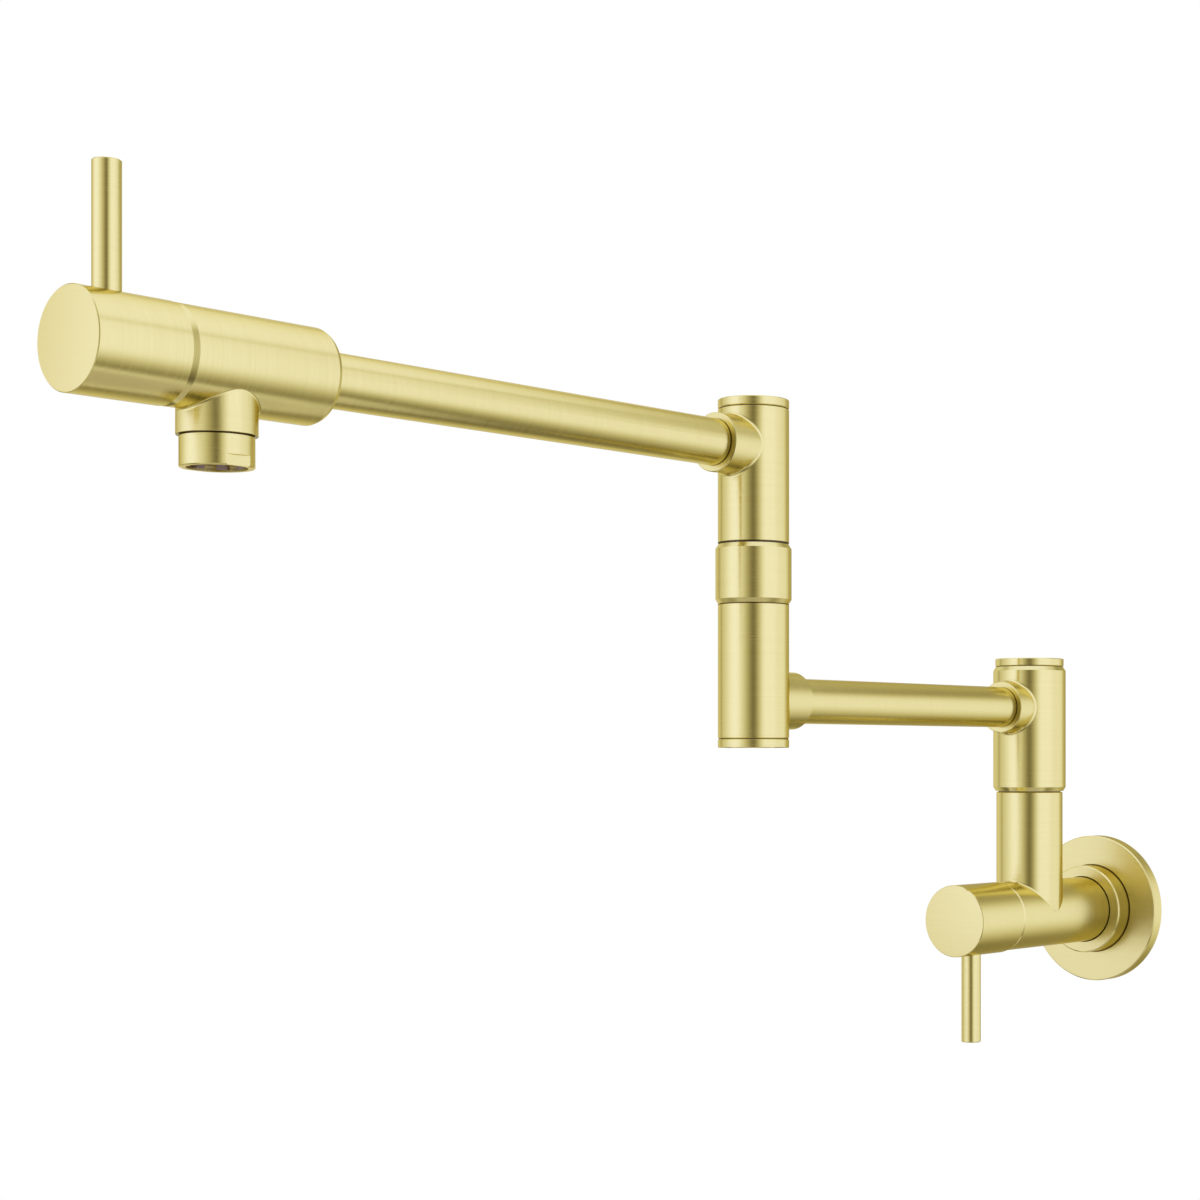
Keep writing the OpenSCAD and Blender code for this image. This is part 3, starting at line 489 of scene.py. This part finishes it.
UP, DOWN = Vector((0, 0, 1)), Vector((0, 0, -1))
TO_ROOM, TO_WALL = Vector((0, -1, 0)), Vector((0, 1, 0))
sleeve_centre = Vector((0, POST_Y, LOWER_ARM_Z))
joint_low, joint_high = Vector((0, JOINT_Y, LOWER_ARM_Z)), Vector((0, JOINT_Y, UPPER_ARM_Z))
stub_centre, riser_centre = Vector((0, OUTLET_Y, UPPER_ARM_Z)), Vector((0, POST_Y, 0))
saddle_fillet("sleeve_fillet", "lower_arm", sleeve_centre, UP, SLEEVE_R, TO_ROOM, BOSS_R)
saddle_fillet("lower_joint_fillet", "lower_arm", joint_low, UP, BODY_R, TO_WALL, BOSS_R)
saddle_fillet("upper_joint_fillet", "upper_arm", joint_high, UP, BODY_R, TO_ROOM, BOSS_R)
saddle_fillet("stub_fillet", "upper_arm", stub_centre, TO_ROOM, HEAD_R, DOWN, STUB_R, 1.0 * MM)
saddle_fillet("riser_fillet", "wall_unit", riser_centre, TO_ROOM, SUPPLY_R, UP, RISER_R, 1.3 * MM)


def groove_shade_ring(name, body, axis_y, low, high, inner_r, outer_r):
    """A black ring that closes the groove between two turned pieces: painted shade, a dark thing standing in for the
    shade in the groove.
    """
    turns = 128
    mesh = bmesh.new()
    corners = [(inner_r, low), (outer_r, low), (outer_r, high), (inner_r, high)]
    sections = []
    for turn in range(turns):
        angle = math.tau * turn / turns
        sections.append([mesh.verts.new((r * math.cos(angle), axis_y + r * math.sin(angle), z)) for r, z in corners])
    close_ring(mesh, sections)
    # the black rubber here is painted shade: the ring is no real part, only a dark fill where the groove lies in
    # shade
    fit_piece(name, mesh, body, slot_finishes["black_rubber"])


SLACK = 0.02 * MM           # air left over and under each ring
RECESS = 0.4 * MM           # how far the rings lie inside the uprights' skin
WASHER_R = BODY_R - 0.95 * MM
for name, body, axis_y, low, gap, inner_r, outer_r in (
        ("bottom_cap_shade_ring", "lower_arm", JOINT_Y, LOW_BODY_BOTTOM - CAP_GAP, CAP_GAP, PLUG_R, BODY_R),
        ("collar_shade_ring", "lower_arm", JOINT_Y, UP_BODY_BOTTOM - COLLAR_GAP, COLLAR_GAP, WASHER_R, BODY_R),
        ("top_cap_shade_ring", "upper_arm", JOINT_Y, UP_BODY_TOP, CAP_GAP, PLUG_R, BODY_R),
        ("post_cap_shade_ring", "wall_unit", POST_Y, SLEEVE_TOP, CAP_GAP, POST_R, POST_CAP_R)):
    groove_shade_ring(name, body, axis_y, low + SLACK, low + gap - SLACK, inner_r, outer_r - RECESS)


# ---------------------------------------------------------------- studio

TENT_CENTRE = Vector((0, -0.30, 0.12))
TENT_WIDTH_R, TENT_HEIGHT_R = 1.6, 1.0
FRONT_WALL_Y = -1.10
FLOOR_Z = -0.80
FLOOR_R = 9.0

# The levels of light on the tent's walls. Turn is in degrees round the tent from straight out into the
# room, and rise in degrees over the level; each pair of angles is where a light comes in or fades out.
WALLS = 0.77
LEFT_IN, LEFT_OUT, LEFT = (-75, -24.5), (34, 44), 0.40
RIGHT_IN, RIGHT = (34, 44), 0.345
BACK_IN, BACK_MIDDLE, BACK_OUT = (108, 127), (155, 179), (209, 218)
BACK_STEP, BACK_DROP, BACK_LIFT = 0.09, 0.47, 0.33
BACK_STARTS = 64
OPENING_IN, OPENING_OUT, OPENING = (-19, 54.5), (36, 82), 0.94
OVERHEAD_IN, OVERHEAD = (32, 64.5), 1.09
SEAM_RISE, SEAM = (43.5, 3.5), 0.22
CORNER_TURN, CORNER = (-87, 7), 0.36
SCREEN_TURN, SCREEN_RISE, SCREEN = (160, 19.5), (29, 13), 0.63
FOOT_IN, FOOT = (-57, -10), 0.14
GROUND_OUT, GROUND = (-56, -49), 0.66
BEHIND_FROM = -106          # turns below this count on from the right


def light_tent(name, material):
    """An oval room of light with a flat front wall, just behind the camera."""
    mesh = bmesh.new()
    bmesh.ops.create_uvsphere(mesh, u_segments=192, v_segments=96, radius=1.0)
    to_front = FRONT_WALL_Y - TENT_CENTRE.y
    for vert in mesh.verts:
        out = Vector((vert.co.x * TENT_WIDTH_R, vert.co.y * TENT_WIDTH_R, vert.co.z * TENT_HEIGHT_R))
        if out.y < to_front:
            out = out * (to_front / out.y)
        vert.co = TENT_CENTRE + out
    return put_in_scene(name, mesh, material)


def tent_light():
    """The inside of a soft light tent: broad bright sides, a dark opening where the camera looks in."""
    finish = new_finish("tent_light")
    place = finish.add("TexCoord")["Object"]
    out = finish.add("VectorMath", {"operation": "SUBTRACT"}, {0: place, 1: TENT_CENTRE})["Vector"]
    out = finish.add("VectorMath", {"operation": "NORMALIZE"}, {0: out})["Vector"]
    x, y, z = finish.axes(out)
    turn = x.math("ARCTAN2", x, 0 - y) * math.degrees(1)
    rise = z.math("ARCSINE", z) * math.degrees(1)
    behind = turn + 360 * turn.below(BEHIND_FROM)
    left_wall = turn.ramp(*LEFT_IN) * turn.fade(*LEFT_OUT) * LEFT
    right_wall = behind.ramp(*RIGHT_IN) * RIGHT
    back_wall = behind.ramp(*BACK_IN) * BACK_STEP + behind.ramp(*BACK_MIDDLE) * BACK_DROP
    back_wall = back_wall - behind.ramp(*BACK_OUT) * BACK_LIFT
    opening = turn.ramp(*OPENING_IN) * turn.fade(*OPENING_OUT) * OPENING
    walls = (WALLS + left_wall + right_wall - back_wall * behind.above(BACK_STARTS)) * (1 - opening)
    overhead = rise.ramp(*OVERHEAD_IN)
    seam = 1 - rise.bell(*SEAM_RISE) * SEAM
    corner = 1 - turn.bell(*CORNER_TURN) * CORNER
    screen = 1 - behind.bell(*SCREEN_TURN) * rise.bell(*SCREEN_RISE) * SCREEN
    foot = rise.ramp(*FOOT_IN, FOOT, 1.0)
    ground = rise.ramp(*GROUND_OUT, GROUND, 0.0)
    level = (walls * foot * (1 - overhead) + overhead * OVERHEAD + ground) * seam * corner * screen
    # the dim parts of the tent are warmer than the bright ones
    red = level * (1.10 - level * 0.155)
    green = red * (0.872 + level * 0.15)
    blue = red * (0.588 + level * level * 0.682)
    light = finish.add("CombineXYZ", None, {"X": red, "Y": green, "Z": blue})["Vector"]
    glow = finish.add("Emission", None, {"Color": light, "Strength": 1.0})
    return finish.surface("Surface", glow["Emission"])


tent = light_tent("light_tent", tent_light())
tent.visible_camera = False
tent.visible_shadow = False
tent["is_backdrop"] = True


def seen(finish):
    """1 where the camera sees this directly, in metal or through glass."""
    path = finish.add("LightPath")
    direct = path["Is Camera Ray"].math("MAXIMUM", path["Is Camera Ray"], path["Is Glossy Ray"])
    return direct.math("MAXIMUM", direct, path["Is Transmission Ray"])


FLOOR_PAINT = (0.66, 0.61, 0.52, 1.0)
WHITE = (1, 1, 1, 1)
FLOOR_FADE = (0.50, 0.64)   # metres from under the part over which the paint fades to white
WORLD_FILL = 0.8            # light of the world, which passes through the tent; where it is seen it is 1


def pale_floor():
    """Pale grey paint that keeps the shadow under the part and fades to the white of the background."""
    finish = new_finish("pale_floor")
    x, y, z = finish.axes(finish.add("TexCoord")["Object"])
    ahead = y - TENT_CENTRE.y
    away = (x * x + ahead * ahead) ** 0.5
    paint = finish.add("BsdfDiffuse", None, {"Color": FLOOR_PAINT})["BSDF"]
    white = finish.add("Emission", None, {"Color": WHITE, "Strength": 1.0})["Emission"]
    fade = away.ramp(*FLOOR_FADE) * seen(finish)
    mixed = finish.add("MixShader", None, {0: fade, 1: paint, 2: white})["Shader"]
    return finish.surface("Surface", mixed)


floor_mesh = bmesh.new()
bmesh.ops.create_circle(floor_mesh, cap_ends=True, segments=96, radius=FLOOR_R)
bmesh.ops.translate(floor_mesh, verts=floor_mesh.verts, vec=(0, 0, FLOOR_Z))
floor = put_in_scene("floor", floor_mesh, pale_floor())
floor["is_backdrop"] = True

world = bpy.data.worlds.new("studio")
bpy.context.scene.world = world
air = Finish(world)
strength = WORLD_FILL + seen(air) * (1 - WORLD_FILL)
background = air.add("Background", None, {"Color": WHITE, "Strength": strength})
air.surface("Surface", background["Background"], "OutputWorld")

low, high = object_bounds()
